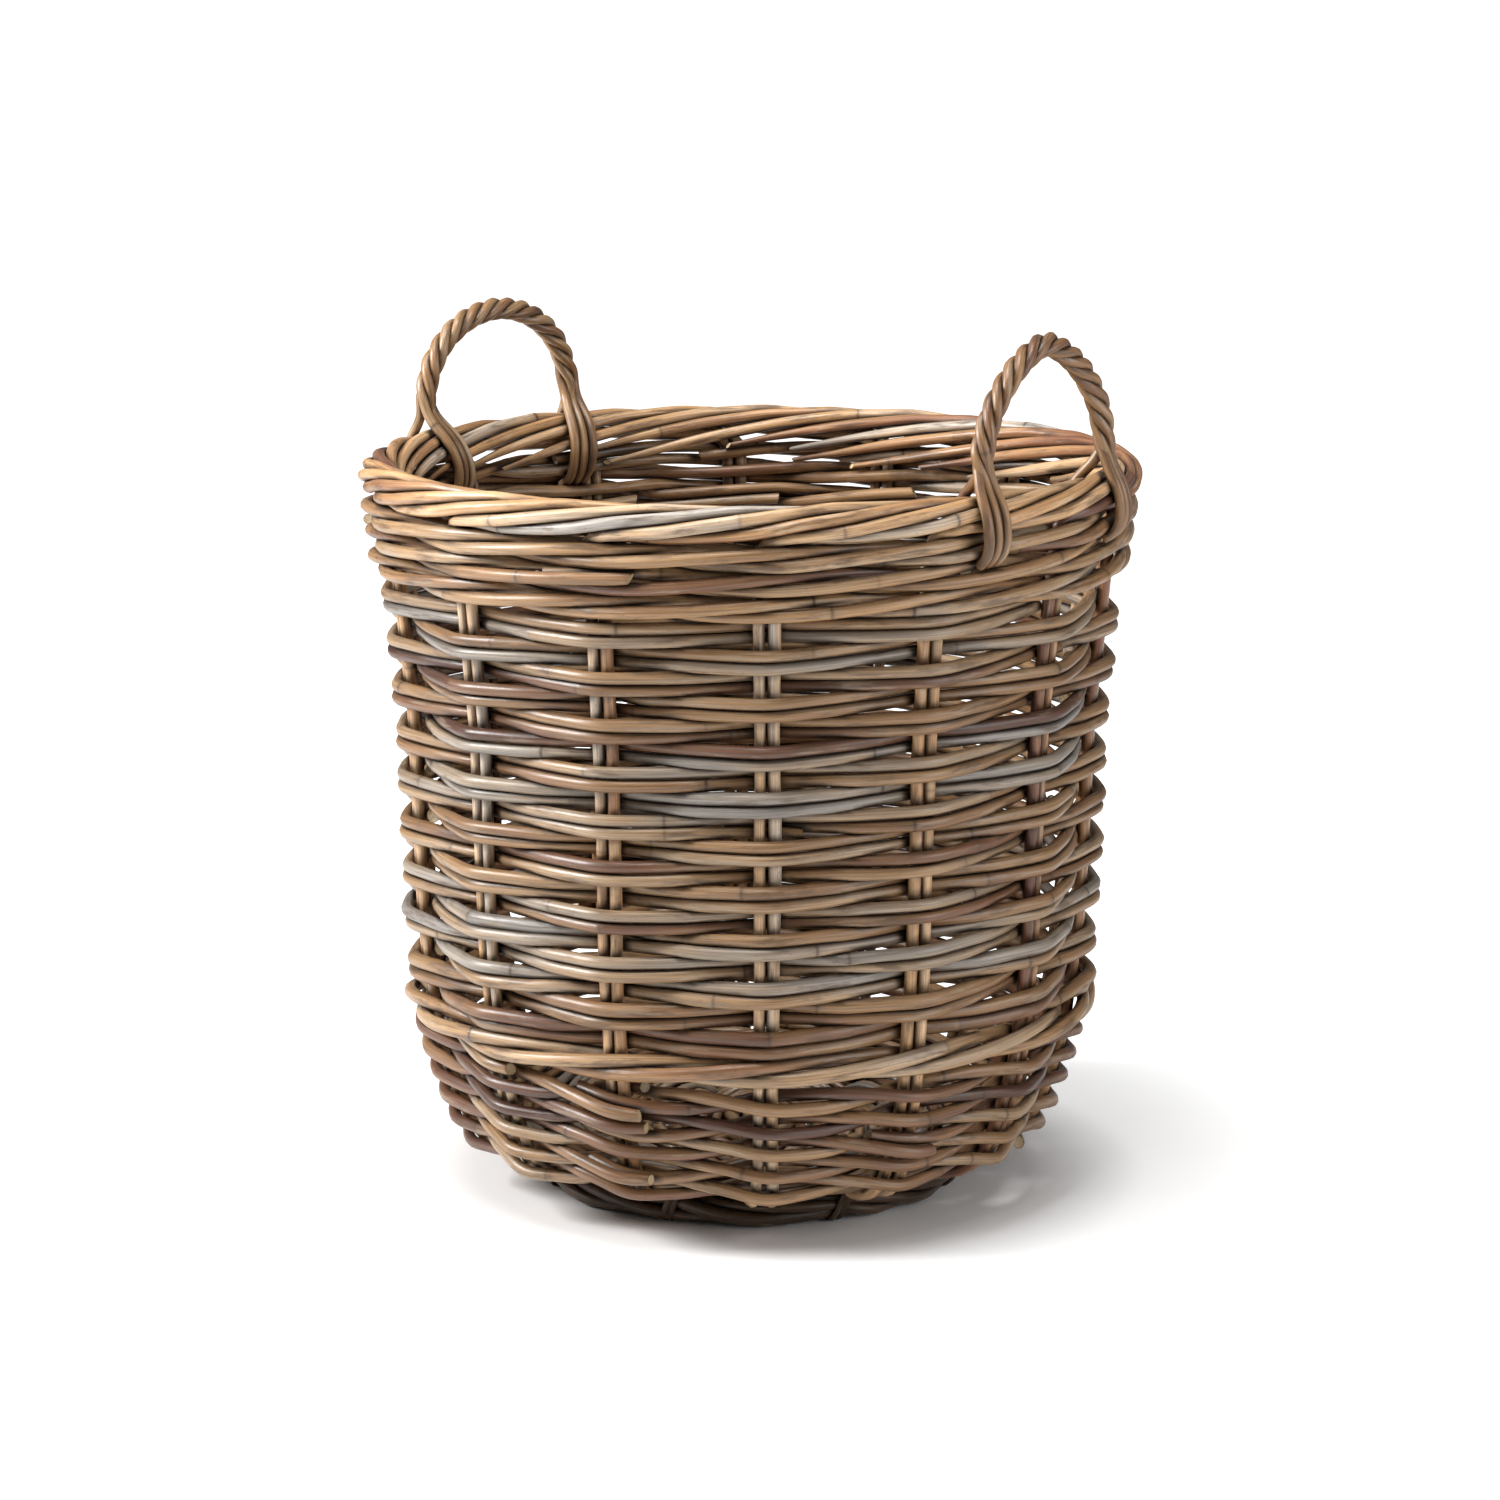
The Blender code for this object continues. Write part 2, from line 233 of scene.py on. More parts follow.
def slew():
    """Two slews of doubled canes that chase each other, over one stake pair and under one."""
    for letter, start in (("a", 0), ("b", STAKE_PAIRS // 2)):
        for layer, side in enumerate((-1, 1)):
            end = start + SLEW_TURNS * STAKE_PAIRS
            drift = rng.uniform(0, 10)
            for number, (first, last) in enumerate(cuts(start, end, 14, 24)):
                enter, leave = (0.05 if number == 0 else -0.30), (0.02 if last == end else 0.26)
                step = np.arange(first + enter, last + leave, 0.055)
                depth = wobble(step, 1.9, 0.0006)
                offset = depth - 0.0086 * zigzag(step - start)
                if number:
                    offset -= 0.0062 * ease((first + 0.25 - step) / 0.3)
                height = SLEW_START + SLEW_RISE * (step - start) / STAKE_PAIRS
                height += (side * 0.0038 + wobble(step + drift, 1.6, 0.0009)
                           - 0.0026 * ease((0.165 - height) / 0.03))
                node = f"slew_{letter}_cane_{(1 if (first + last) / 2 < start + 62 else 3) + layer}"
                path = around(step, wall_place(height), offset)
                thick = 0.0004 * float(ease((0.20 - height.mean()) / 0.06))
                lay(f"slew_{letter}_{layer + 1}_{number + 1:02d}", path, rng.uniform(0.0037, 0.0042) + thick,
                    "weaving_cane", node, tone=weathered(float(height.mean())))


def pairing():
    """Two canes that cross between all stake pairs, from the bend at the base up."""
    begin, end, rise = 5, 80, 0.0163
    # The first canes start this many stakes early, so that the lowest round closes on the base.
    lead = 4.0
    # The pairing is at PAIRING_TOP when it passes this stake.
    level_stake = 68
    middle = wall_place(PAIRING_TOP)
    for strand, side in enumerate((1, -1)):
        for number, (first, last) in enumerate(cuts(begin, end, 12, 20)):
            step = np.arange(first - (0.3 if number else lead), last + 0.25, 0.06)
            offset = side * 0.0086 * zigzag(step)
            if number:
                offset -= 0.0062 * ease((first + 0.25 - step) / 0.3)
            place = (middle + rise * (step - level_stake) / STAKE_PAIRS
                     - side * 0.0036 * np.sin(math.pi * step) + wobble(step, 1.7, 0.0008))
            lay(f"pairing_{strand + 1}_{number + 1:02d}", around(step, place, offset),
                rng.uniform(0.0038, 0.0043), "weaving_cane", f"pairing_cane_{strand + 1}",
                tone=weathered(0.05))


def wale(name, levels, turns, begin, amplitude, radius, longest):
    """Three canes, each in front of two stake pairs and behind the third, from level to level."""
    front, proud, lift = amplitude, amplitude + 0.0034, 0.0037
    stroke = np.array([
        (front, -lift), (proud, 0.0), (front, lift),
        (0.0, lift + 0.0004), (-front, 0.0), (0.0, -lift - 0.0004),
    ])
    dense = np.arange(0, 6, 0.1)
    smooth = np.stack([
        sum(stroke[k % 6, axis] * np.maximum(0, 1 - np.abs((dense - k + 3) % 6 - 3)) for k in range(6))
        for axis in range(2)
    ], 1)
    kernel = np.exp(-0.5 * (np.arange(-12, 13) / 4.5) ** 2)
    kernel /= kernel.sum()
    wrapped = np.concatenate([smooth[-12:], smooth, smooth[:12]])
    smooth = np.stack([np.convolve(wrapped[:, axis], kernel, "valid") for axis in range(2)], 1) * 1.12
    for strand in range(3):
        start = begin + (2 - strand - begin) % 3
        end = start + turns * STAKE_PAIRS
        for number, (first, last) in enumerate(cuts(start, end, 12, longest)):
            step = np.arange(first - 0.3, last + 0.3, 0.055)
            phase = (2 * step + 2 * strand) % 6
            offset = np.interp(phase, np.append(dense, 6), np.append(smooth[:, 0], smooth[0, 0]))
            rise = np.interp(phase, np.append(dense, 6), np.append(smooth[:, 1], smooth[0, 1]))
            if number:
                offset = offset - 0.0060 * ease((first + 0.25 - step) / 0.3)
            around_it = (step - start) / STAKE_PAIRS
            turn = np.floor(around_it)
            climbed = np.where(turn > 0, turn - 1 + ease((around_it - turn) * STAKE_PAIRS / 3.0), 0.0)
            height = np.interp(climbed, np.arange(len(levels)), levels) + rise + wobble(step, 1.8, 0.0006)
            path = around(step, wall_place(height), offset + wobble(step, 2.1, 0.0005))
            lay(f"{name}_{strand + 1}_{number + 1:02d}", path, rng.uniform(radius - 0.0002, radius + 0.0002),
                "wale_cane", f"{name}_cane_{strand + 1}")


def stakes():
    """Fourteen pairs, from beside the base sticks up the wall, then rolled to the right as the border."""
    bottom = np.interp(0.106, wall_line[:, 0], wall_along)
    top = wall_place(WALE_TOP - 0.004)
    for pair in range(STAKE_PAIRS):
        for side in (-1, 1):
            place = np.linspace(bottom, top, 70)
            out_from_middle = np.interp(place, wall_along, wall_line[:, 0])
            spread = side * (0.0042 + 0.0032 * ease((0.150 - out_from_middle) / 0.03))
            sway = wobble(place, 0.07, 0.0006)
            climb = around(np.full(len(place), float(pair)), place, sway * 0.4, spread + sway)
            angle = FIRST_STAKE + pair * STEP
            ahead = 0.0 if side > 0 else 0.45
            steps = np.linspace(0.13 if side > 0 else 0.10, 3.95 - ahead + rng.uniform(-0.45, 0.35), 60)
            out = np.interp(steps + ahead, BORDER[:, 0], BORDER[:, 1]) + wobble(steps, 1.2, 0.0004)
            climb_over = np.interp(steps + ahead, BORDER[:, 0], BORDER[:, 2])
            height = WALE_TOP + climb_over + wobble(steps, 1.2, 0.0004)
            spots = angle + steps * STEP
            radius = RIM_RADIUS + out
            over = np.stack([radius * np.cos(spots), radius * np.sin(spots), height], 1)
            path = soften(np.concatenate([climb, over]), 0.0036)
            lay(f"stake_{pair + 1:02d}_{'left' if side < 0 else 'right'}", path, rng.uniform(0.0037, 0.0040),
                "stake_cane", f"stake_pair_{pair + 1:02d}", give=0.35, tip=POINTED_TIP)


# The way a handle's strands take over the rim: distance out from its line, height from its crest,
# then how far they have spread and how far they have drifted along the rim
OUTSIDE = np.array([
    (0.0062, 0.010, 0.60, 0.00), (0.0092, 0.002, 0.85, 0.10), (0.0138, -0.006, 1.00, 0.25),
    (0.0163, -0.014, 1.00, 0.45), (0.0168, -0.022, 1.00, 0.68), (0.0158, -0.029, 0.98, 0.88),
    (0.0112, -0.035, 0.92, 1.00), (0.0030, -0.040, 0.88, 1.00),
])
INSIDE = np.array([
    (0.0010, 0.010, 0.60, 0.00), (-0.0052, 0.002, 0.85, 0.10), (-0.0125, -0.006, 1.00, 0.25),
    (-0.0176, -0.014, 1.00, 0.42), (-0.0204, -0.024, 1.00, 0.66), (-0.0196, -0.036, 0.98, 0.88),
    (-0.0125, -0.046, 0.92, 1.00), (-0.0020, -0.050, 0.88, 1.00),
])


def handle(side_name, direction, half, height, point, outside, drifts, tones):
    """A left-hand laid rope of four canes in an arch, its ends unlaid and worked down over the border."""
    outwards = np.array([math.cos(direction), math.sin(direction), 0.0])
    sideways = np.array([-outwards[1], outwards[0], 0.0])
    up = np.array([0.0, 0.0, 1.0])
    rope, lay_length, spring = 0.00475, 0.056, RIM_CREST + 0.0135
    # This many points at each end of the rope give way to the strands' own ways down
    trim = 9
    plane = outwards * math.sqrt(HANDLE_RADIUS**2 - half**2)
    turn = np.linspace(0, math.pi, 80)
    across = np.sign(np.cos(turn)) * np.abs(np.cos(turn)) ** point
    bulge = half + 0.0030 * np.sin(turn) ** 2 * np.abs(np.cos(turn))
    arch = plane + np.outer(-across * bulge, sideways) + np.outer(spring + np.sin(turn) * height, up)
    arch = resample(np.concatenate([[arch[0] - up * 0.006], arch, [arch[-1] - up * 0.006]]), 0.0015)
    along = lengths(arch)
    ahead = np.gradient(arch, along, axis=0)
    ahead /= np.linalg.norm(ahead, axis=1)[:, None]
    away = np.cross(outwards, ahead)
    turns = round(along[-1] / lay_length * 4) / 4
    foot_turn = math.asin(half / HANDLE_RADIUS)
    phases = [strand * math.pi / 2 + foot_turn + math.tau * turns * along / along[-1] for strand in range(4)]
    strands = [arch + rope * (np.outer(np.cos(phase), outwards) + away * np.sin(phase)[:, None])
               for phase in phases]
    feet = []
    for side, end, (drift_out, drift_in) in ((-1, trim, drifts[0]), (1, len(arch) - 1 - trim, drifts[1])):
        angle = direction + side * foot_turn
        radial = np.array([math.cos(angle), math.sin(angle), 0.0])
        tangent = np.array([-radial[1], radial[0], 0.0])
        off_middle = [strand[end] - arch[end] for strand in strands]
        places = [math.atan2(off @ tangent, off @ radial) + 0.7 for off in off_middle]
        by_radius = sorted(range(4), key=lambda k: -math.cos(places[k]))
        ways = {}
        groups = ((by_radius[:outside], OUTSIDE, drift_out), (by_radius[outside:], INSIDE, drift_in))
        for group, table, drift in groups:
            group.sort(key=lambda k: math.sin(places[k]))
            for rank, strand in enumerate(group):
                shift = (rank - (len(group) - 1) / 2) * 0.0067
                ways[strand] = np.array([
                    radial * (RIM_RADIUS + out) + tangent * (shift * spread + drift * gone)
                    + up * (RIM_CREST + z)
                    for out, z, spread, gone in table
                ])
        feet.append(ways)
    for strand in range(4):
        path = np.concatenate([feet[0][strand][::-1], strands[strand][trim:-trim], feet[1][strand]])
        lay(f"{side_name}_handle_{strand + 1}", soften(path, 0.0042), 0.00325, "handle_cane",
            f"{side_name}_handle_cane_{strand + 1}", give=0.8, spacing=0.0027, rope=True, tone=tones[strand])


def foot():
    """Long canes laid round in a loose bundle under the base, each sloping down to the right."""
    for number in range(14):
        start = number * math.tau / 14 + rng.uniform(-0.07, 0.07)
        sweep = math.radians(rng.uniform(78, 96))
        angle = np.arange(start, start + sweep, 0.03)
        share = (angle - start) / sweep
        height = 0.0205 - 0.0155 * ease(0.1 + 0.8 * share) + wobble(angle, 0.5, 0.0006)
        radius = 0.1340 + 0.0030 * np.sin(math.pi * share) - 0.0040 * ease((0.2 - share) / 0.2)
        path = np.stack([radius * np.cos(angle), radius * np.sin(angle), height], 1)
        lay(f"foot_outer_{number + 1:02d}", path, rng.uniform(0.0036, 0.0044), "foot_cane",
            "foot_outer_high" if number % 2 else "foot_outer_low", floor=True, give=0.9)
    for number, (radius, height) in enumerate(((0.1275, 0.0055), (0.1272, 0.0135))):
        angle = np.arange(0, math.tau - 0.02, 0.035) + number * 2.2
        radius = radius + wobble(angle, 0.5, 0.0006)
        path = np.stack([radius * np.cos(angle), radius * np.sin(angle), height + 0 * angle], 1)
        lay(f"foot_inner_{number + 1}", path, 0.0040, "foot_cane",
            ("foot_inner_low", "foot_inner_high")[number], floor=True, give=0.5)


def foot_ties():
    """Split canes wound round the foot and through the lowest rounds, twice at each place."""
    for tie in range(8):
        angle = math.radians(-23.5 + 45 * tie)
        for turn in range(2):
            loop = np.array([
                (0.1215, 0.0080), (0.1220, 0.0015), (0.1300, 0.0009), (0.1385, 0.0012), (0.1420, 0.0060),
                (0.1428, 0.0130), (0.1445, 0.0200), (0.1475, 0.0262), (0.1440, 0.0322), (0.1330, 0.0335),
                (0.1245, 0.0300), (0.1222, 0.0200),
            ])
            slant = np.interp(loop[:, 1], [0.0, 0.034], [-0.0070, 0.0070]) + (turn - 0.5) * 0.0044
            spots = angle + slant / loop[:, 0]
            path = np.stack([loop[:, 0] * np.cos(spots), loop[:, 0] * np.sin(spots), loop[:, 1]], 1)
            lay(f"foot_tie_{tie + 1}_{turn + 1}", soften(path, 0.0022), 0.0021, "tie_cane",
                f"foot_tie_{tie + 1}", give=0.0, spacing=0.003, flat=0.45)


def base():
    """Sticks crossed at the middle and fanned out, with two canes paired round them."""
    level = BASE_LEVEL + 0.0010
    for first, count, side in ((0, 4, -1), (4, 3, 1)):
        heading = FIRST_STAKE + (first + (count - 1) / 2) * STEP
        along = np.array([math.cos(heading), math.sin(heading), 0.0])
        across = np.array([-along[1], along[0], 0.0])
        for index in range(count):
            shift = across * (index - (count - 1) / 2) * 0.0082 + np.array([0, 0, level + side * 0.0040])
            near = FIRST_STAKE + (first + index) * STEP
            far = FIRST_STAKE + (first + count - 1 - index) * STEP + math.pi
            arms = [np.array([[r * math.cos(a), r * math.sin(a), level] for r in (0.060, 0.100, 0.145)])
                    for a in (near, far)]
            path = np.concatenate([arms[1][::-1], [shift - along * 0.024], [shift + along * 0.024], arms[0]])
            lay(f"base_stick_{first + index + 1}", soften(path, 0.006), 0.0039, "base_cane",
                f"base_stick_{first + index + 1}", give=0.2)
    inner, outer, turns = 0.040, 0.171, 16
    for strand, side in enumerate((1, -1)):
        total = turns * STAKE_PAIRS
        for number, (first, last) in enumerate(cuts(0, total, 28, 48)):
            step = np.arange(first, last + 0.2, 0.12 if last < 60 else 0.1)
            radius = inner + (outer - inner) * step / total - side * 0.0036 * np.sin(math.pi * step)
            # The weavers pass over and under the sticks, and farther out they lie on top of the stakes.
            above = ease((radius - 0.116) / 0.006)
            height = level + side * 0.0075 * np.cos(math.pi * step) * (1 - 0.8 * above) + 0.0085 * above
            # Beyond the foot the base turns up into the wall, and steeper near its edge.
            height = height + 0.16 * np.maximum(radius - 0.146, 0) + 0.45 * np.maximum(radius - 0.160, 0)
            angle = FIRST_STAKE + step * STEP
            path = np.stack([radius * np.cos(angle), radius * np.sin(angle), height], 1)
            lay(f"base_weaver_{strand + 1}_{number + 1:02d}", path, 0.0034, "base_cane",
                f"base_weaver_{strand + 1}")


def near_pairs(middles, reach):
    """All pairs of middles closer together than reach, by sorting them into cells."""
    cells = np.floor(middles / reach).astype(np.int64)
    cells -= cells.min(0) - 1
    size = cells.max(0) + 2
    keys = (cells[:, 0] * size[1] + cells[:, 1]) * size[2] + cells[:, 2]
    order = np.argsort(keys, kind="stable")
    ranked = keys[order]
    pairs = []
    for dx in (-1, 0, 1):
        for dy in (-1, 0, 1):
            for dz in (-1, 0, 1):
                wanted = keys + (dx * size[1] + dy) * size[2] + dz
                low = np.searchsorted(ranked, wanted, "left")
                counts = np.searchsorted(ranked, wanted, "right") - low
                one = np.repeat(np.arange(len(keys)), counts)
                before = np.repeat(low - np.cumsum(counts) + counts, counts)
                other = order[before + np.arange(len(one))]
                keep = one < other
                one, other = one[keep], other[keep]
                close = np.linalg.norm(middles[one] - middles[other], axis=1) < reach
                pairs.append(np.stack([one[close], other[close]], 1))
    return np.concatenate(pairs)


def press_apart(rounds):
    """Moves the canes off each other, stiff along their length, until each rests on its neighbours."""
    rest = np.concatenate([cane["path"] for cane in canes])
    counts = np.array([len(cane["path"]) for cane in canes])
    starts = np.cumsum(counts) - counts
    radius = np.repeat([cane["radius"] * (0.6 if cane.get("flat") else 1.0) for cane in canes], counts)
    give = np.repeat([cane["give"] for cane in canes], counts)
    owner = np.repeat(np.arange(len(canes)), counts)
    floor = np.repeat([cane.get("floor", False) for cane in canes], counts)
    first = np.flatnonzero(owner[:-1] == owner[1:])
    middles = (rest[first] + rest[first + 1]) / 2
    pairs = near_pairs(middles, 0.0165)
    one, other = first[pairs[:, 0]], first[pairs[:, 1]]
    rope = np.array([bool(cane.get("rope")) for cane in canes])
    apart = (owner[one] != owner[other]) | (np.abs(one - other) > 12)
    apart &= give[one] + give[other] > 0
    apart &= ~(rope[owner[one]] & rope[owner[other]])
    one, other = one[apart], other[apart]
    touch = radius[one] + radius[other]
    share_one = give[one] / (give[one] + give[other])
    moved = np.zeros_like(rest)
    inside = np.ones(len(rest), bool)
    inside[starts] = False
    inside[starts + counts - 1] = False
    inner = np.flatnonzero(inside)
    before_end = starts + counts - 1
    for _ in range(rounds):
        points = rest + moved
        p, q = points[one], points[other]
        u, v, w = points[one + 1] - p, points[other + 1] - q, p - q
        a, b, c = (u * u).sum(1), (u * v).sum(1), (v * v).sum(1)
        d, e = (u * w).sum(1), (v * w).sum(1)
        s = np.clip((b * e - c * d) / np.maximum(a * c - b * b, 1e-12), 0, 1)
        t = np.clip((b * s + e) / np.maximum(c, 1e-12), 0, 1)
        s = np.clip((b * t - d) / np.maximum(a, 1e-12), 0, 1)
        gap = w + s[:, None] * u - t[:, None] * v
        distance = np.linalg.norm(gap, axis=1)
        press = np.maximum(touch - distance, 0) * 0.42
        hit = press > 0
        push = gap[hit] / np.maximum(distance[hit], 1e-6)[:, None] * press[hit][:, None]
        mine, yours = push * share_one[hit][:, None], -push * (1 - share_one[hit])[:, None]
        spots = np.concatenate([one[hit], one[hit] + 1, other[hit], other[hit] + 1])
        parts = np.concatenate([
            mine * (1 - s[hit])[:, None], mine * s[hit][:, None],
            yours * (1 - t[hit])[:, None], yours * t[hit][:, None],
        ])
        for axis in range(3):
            moved[:, axis] += np.bincount(spots, parts[:, axis], len(rest))
        for _ in range(2):
            level = moved[inner] + 0.5 * ((moved[inner - 1] + moved[inner + 1]) / 2 - moved[inner])
            moved[inner] = level
            moved[starts] += 0.5 * (moved[starts + 1] - moved[starts])
            moved[before_end] += 0.5 * (moved[before_end - 1] - moved[before_end])
        moved[give == 0] = 0
        low = floor & (rest[:, 2] + moved[:, 2] < radius + 0.0013)
        moved[low, 2] = radius[low] + 0.0013 - rest[low, 2]
    print("pairs", len(one), "deepest overlap", float((press / 0.42).max()))
    points = rest + moved
    for cane, start, count in zip(canes, starts, counts):
        cane["path"] = points[start:start + count]


def neighbours():
    """A tree of points down the middle of every cane, with whose they are and how thick it is there."""
    middles = [resample_straight(cane["path"], 0.0025) for cane in canes]
    tree = kdtree.KDTree(sum(len(middle) for middle in middles))
    owners, radii = [], []
    for number, (cane, middle) in enumerate(zip(canes, middles)):
        for point in middle.tolist():
            tree.insert(point, len(owners))
            owners.append(number)
            radii.append(cane["radius"] * cane.get("flat", 1.0))
    tree.balance()
    return tree, owners, radii


def dust_and_shade_where_touching(number, points, outwards, around_it):
    """Painted shade where canes touch, with some dust and stain: how near other canes are in front of each
    point.
    """
    tree, owners, radii = around_it
    share = np.zeros(len(points))
    for index, probe in enumerate((points + outwards * 0.0032).tolist()):
        _, nearest, distance = tree.find(probe)
        if owners[nearest] != number:
            share[index] = distance - radii[nearest]
        else:
            share[index] = 1.0
    return 1 - ease((share + 0.0006) / 0.0038)


def shell(number, cane, around_it):
    """Mesh arrays of one cane: a tube with joint rings, a wandering thickness and slanting cut ends."""
    path, radius, sides = cane["path"], cane["radius"], 10
    along = lengths(path)
    length = along[-1]
    joints = []
    place = rng.uniform(0.02, 0.35)
    while place < length - 0.012 and not cane.get("flat"):
        joints.append(place)
        place += rng.uniform(0.20, 0.42)
    spacing = 0.0030 if cane.get("rope") or cane.get("flat") else 0.0058
    stations = np.linspace(0, length, max(int(length / spacing), 4) + 1)
    if joints:
        # Stations on both sides of each joint, close enough together to carry its ring
        extra = np.add.outer(joints, [-0.0034, -0.0014, -0.0005, 0.0005, 0.0014, 0.0034]).ravel()
        gaps = np.abs(stations[1:-1, None] - extra[None]).min(1)
        kept = stations[1:-1][gaps > 0.0016]
        stations = np.sort(np.concatenate([stations[:1], kept, stations[-1:], extra]))
    centres = curve_at(path, along, stations)
    ahead = np.gradient(centres, stations, axis=0)
    ahead /= np.linalg.norm(ahead, axis=1)[:, None]
    start = np.cross(ahead[0], (0.0, 0.0, 1.0) if abs(ahead[0][2]) < 0.9 else (1.0, 0.0, 0.0))
    normal = start / np.linalg.norm(start)
    normals = np.empty_like(centres)
    for index, forward in enumerate(ahead):
        normal = normal - forward * (normal @ forward)
        normal /= math.sqrt(normal @ normal)
        normals[index] = normal
    if cane.get("flat"):
        # A tie lies flat on what it binds: its thin way points out from the middle of its loop.
        normals = centres - centres.mean(0)
        normals -= ahead * (normals * ahead).sum(1)[:, None]
        normals /= np.linalg.norm(normals, axis=1)[:, None]
    sidewards = np.cross(ahead, normals)
    thick = radius * (1 + wobble(stations, 0.05, 0.02))
    ring = np.zeros(len(stations))
    tone = np.full(len(stations), cane["tone"])
    if joints:
        distance = stations[:, None] - np.array(joints)[None]
        swelling = 0.085 * np.exp(-(distance / 0.0026) ** 2)
        groove = 0.07 * np.exp(-(distance / 0.0006) ** 2)
        thick *= 1 + (swelling - groove).sum(1)
        strength = rng.uniform(0.25, 1.0, len(joints))
        dark_line = np.exp(-(distance / 0.0010) ** 2)
        dark_edge = 0.32 * np.exp(-(distance / 0.006) ** 2)
        ring = ((dark_line + dark_edge) * strength).sum(1)
        shifts = rng.uniform(-0.13, 0.13, len(joints) + 1)
        tone = tone + shifts[np.searchsorted(joints, stations)]
    reach, narrow, slope = cane.get("tip", (0.012, 0.9, rng.uniform(0.4, 1.3)))
    thick *= 1 - (1 - narrow) * ease((stations - length + reach) / reach)
    turn = np.arange(sides) * math.tau / sides
    oval = 1 + 0.035 * np.cos(2 * turn + rng.uniform(0, 6))
    flat = cane.get("flat", 1.0)
    local = np.stack([np.cos(turn) * oval * flat, np.sin(turn) * oval], 1)
    outline = local[None, :, :1] * normals[:, None] + local[None, :, 1:] * sidewards[:, None]
    rings = centres[:, None] + thick[:, None, None] * outline
    back_slope = 0.0 if cane.get("flat") else rng.uniform(0.3, 1.1)
    slope = 0.0 if cane.get("flat") else slope
    lean = np.cos(turn + rng.uniform(0, 6))
    for end, rate in ((0, -back_slope), (-1, -slope)):
        rings[end] += ahead[end] * (rate * (1 + lean) * 0.5 * thick[end])[:, None] * (1 if end else -1)
    count = len(stations)
    caps, cap_rows = [], []
    for end in (0, -1):
        middle = rings[end].mean(0)
        inward = ahead[end] * (0.0004 if end == 0 else -0.0004)
        caps.append(middle + (rings[end] - middle) * 0.80 + inward * 0.3)
        caps.append((middle + inward)[None])
        cap_rows.append(end % count)
    points = np.concatenate([rings.reshape(-1, 3), *caps])
    row = np.arange(count - 1)[:, None] * sides
    column = np.arange(sides)[None]
    after = (column + 1) % sides
    above = row + sides
    quads = np.stack([row + column, row + after, above + after, above + column], -1)
    faces = quads.reshape(-1, 4).tolist()
    body = count * sides
    for number, end_row in enumerate(cap_rows):
        edge = end_row * sides
        inset = body + number * (sides + 1)
        centre = inset + sides
        for k in range(sides):
            n = (k + 1) % sides
            quad = [edge + k, inset + k, inset + n, edge + n]
            fan = [inset + k, centre, inset + n]
            faces.append(quad if number == 0 else quad[::-1])
            faces.append(fan if number == 0 else fan[::-1])
    shift = rng.uniform(0, 40)
    across = np.stack([np.cos(turn), np.sin(turn)], 1) * radius
    texture = np.empty((count, sides, 3))
    texture[:, :, :2] = across
    texture[:, :, 2] = (stations + shift)[:, None]
    cap_texture = []
    for number, end_row in enumerate(cap_rows):
        flat_map = texture[end_row].copy()
        flat_map[:, :2] *= 0.8
        cap_texture += [flat_map, np.array([[0.0, 0.0, stations[end_row] + shift]])]
    texture = np.concatenate([texture.reshape(-1, 3), *cap_texture])
    pith = np.zeros(len(points))
    pith[body:] = 1.0
    outwards = (rings - centres[:, None]).reshape(-1, 3)
    outwards /= np.linalg.norm(outwards, axis=1)[:, None]
    # Painted shade where other canes touch, with some dust and stain
    dust_and_shade = np.zeros(len(points))
    dust_and_shade[:body] = dust_and_shade_where_touching(number, points[:body], outwards, around_it)

    def spread(values):
        caps_too = [np.full(sides + 1, values[end_row]) for end_row in cap_rows]
        return np.concatenate([np.repeat(values, sides)] + caps_too)

    attributes = {
        "cane_co": texture,
        "tone": spread(tone),
        "ring": spread(ring),
        "pith": pith,
        "dust_and_shade": dust_and_shade,
    }
    return points, faces, attributes


def build():
    around_it = neighbours()
    for number, cane in enumerate(canes):
        points, faces, attributes = shell(number, cane, around_it)
        mesh = bpy.data.meshes.new(cane["name"])
        mesh.from_pydata(points.tolist(), [], faces)
        for name, values in attributes.items():
            vector = values.ndim == 2
            attribute = mesh.attributes.new(name, "FLOAT_VECTOR" if vector else "FLOAT", "POINT")
            attribute.data.foreach_set("vector" if vector else "value", values.astype(np.float32).ravel())
        mesh.shade_smooth()
        mesh.set_sharp_from_angle(angle=math.radians(50))
        mesh.materials.append(materials[cane["slot"]])
        piece = bpy.data.objects.new(cane["name"], mesh)
        bpy.context.scene.collection.objects.link(piece)
        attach(piece, "root")
        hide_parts(*cane["nodes"])


